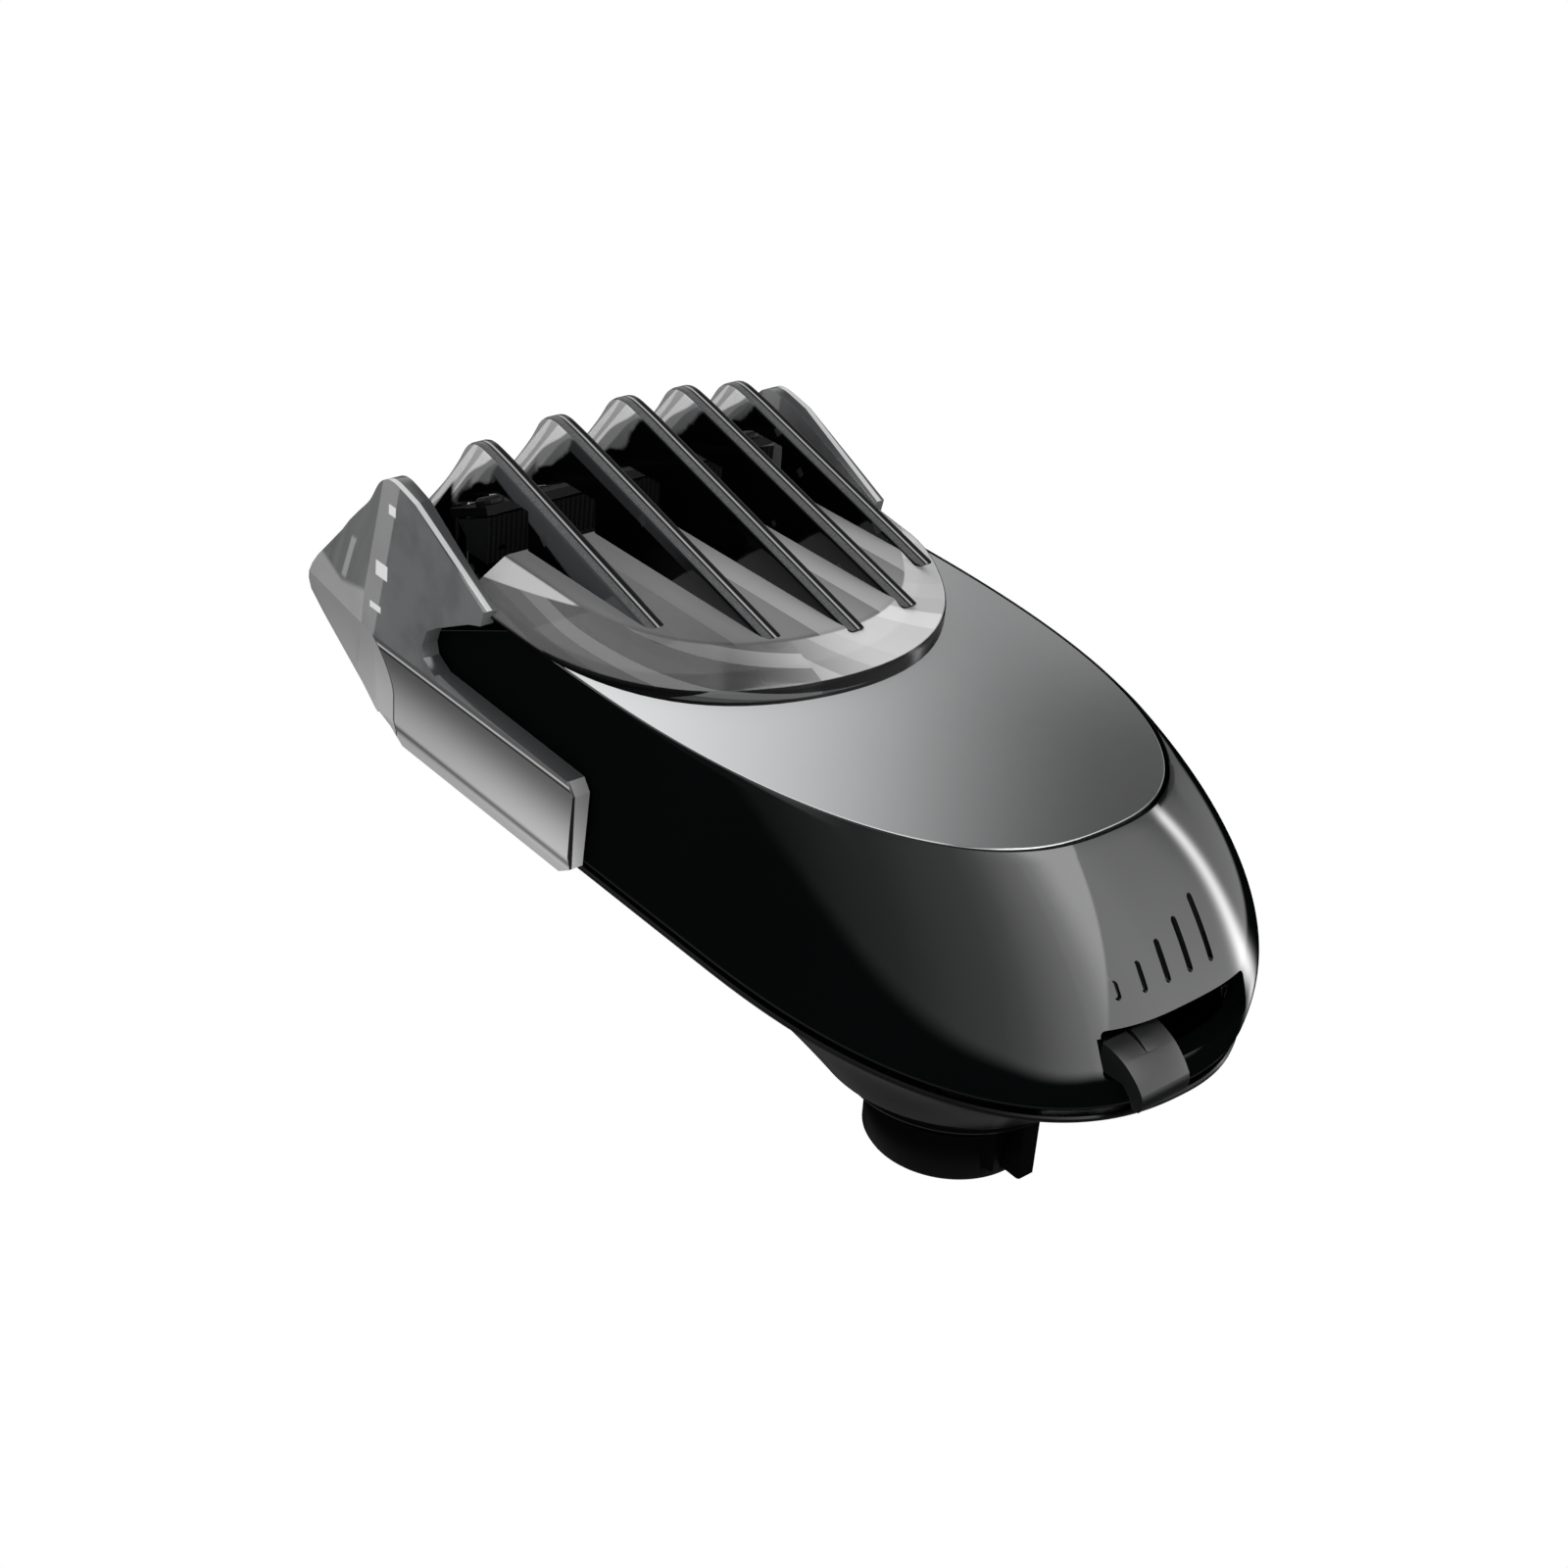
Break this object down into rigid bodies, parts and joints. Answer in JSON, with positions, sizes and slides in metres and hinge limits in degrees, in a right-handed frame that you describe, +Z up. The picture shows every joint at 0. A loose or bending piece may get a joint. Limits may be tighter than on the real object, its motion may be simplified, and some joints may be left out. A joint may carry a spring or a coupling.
{
  "type": "hair clipper head",
  "caption": "Click-on clipper head with a gloss housing, round spigot coupling, slider-set smoked guide comb and a transverse toothed cutter.",
  "frame": {"origin": "on the coupling axis, at the spigot's bottom rim", "axes": "+Z up along the coupling axis, +Y towards the cutting edge, +X to the right seen from the slider's end"},
  "size_m": [0.0444, 0.0945, 0.0487],
  "materials": {
    "gloss_black": "polished",
    "satin_grey": "satin metallic paint",
    "satin_black": "satin",
    "black_inner": "as moulded",
    "smoked_clear": "clear smoked, frosted on the side walls",
    "blade_steel": "ground",
    "steel": "bright",
    "brass": "turned",
    "acetal": "as moulded",
    "rubber": "matte"
  },
  "bodies": {
    "housing": {"upper_housing": "gloss_black", "top_panel": "satin_grey", "lower_shell": "satin_black", "coupling_collar": "satin_black", "chassis": "black_inner", "shell_screw_1": "steel", "shell_screw_2": "steel", "shell_screw_3": "steel", "shell_screw_4": "steel", "spindle_seal": "rubber", "spindle_bush_lower": "brass", "spindle_bush_upper": "brass", "rocker_pivot_pin": "steel", "cutter_frame": "satin_black", "fixed_blade": "blade_steel", "blade_screw_left": "steel", "blade_screw_right": "steel", "detent_spring": "steel"},
    "spindle": {"drive_socket": "acetal", "drive_spindle": "steel"},
    "rocker": {"drive_rocker": "acetal", "rocker_bush": "brass"},
    "cutter": {"moving_blade": "blade_steel", "blade_driver": "acetal"},
    "slider": {"length_slider": "satin_black"},
    "carriage": {"comb_carriage": "acetal", "follower_pin": "steel"},
    "comb": {"comb": "smoked_clear"}
  },
  "joints": [
    {"name": "spindle_spin", "type": "hinge", "parent": "housing", "child": "spindle", "pos_m": [0, 0, 0], "axis": [0, 0, 1], "continuous": true},
    {"name": "rocker_swing", "type": "hinge", "parent": "housing", "child": "rocker", "pos_m": [0, 0.022, 0], "axis": [0, 0, 1], "range_deg": [-3, 3]},
    {"name": "blade_stroke", "type": "slide", "parent": "housing", "child": "cutter", "axis": [1, 0, 0], "range_m": [-0.00142, 0.00142]},
    {"name": "length_slide", "type": "slide", "parent": "housing", "child": "slider", "axis": [1, 0, 0], "range_m": [0, 0.00944]},
    {"name": "carriage_slide", "type": "slide", "parent": "housing", "child": "carriage", "axis": [0, 1, 0], "range_m": [0, 0.00401]},
    {"name": "comb_lift", "type": "slide", "parent": "carriage", "child": "comb", "axis": [0, 0, 1], "range_m": [0, 0.03]}
  ],
  "couplings": [
    {"joint": "rocker_swing", "follows": "blade_stroke", "rad_per_m": -36.63},
    {"joint": "carriage_slide", "follows": "length_slide", "ratio": 0.42373}
  ]
}
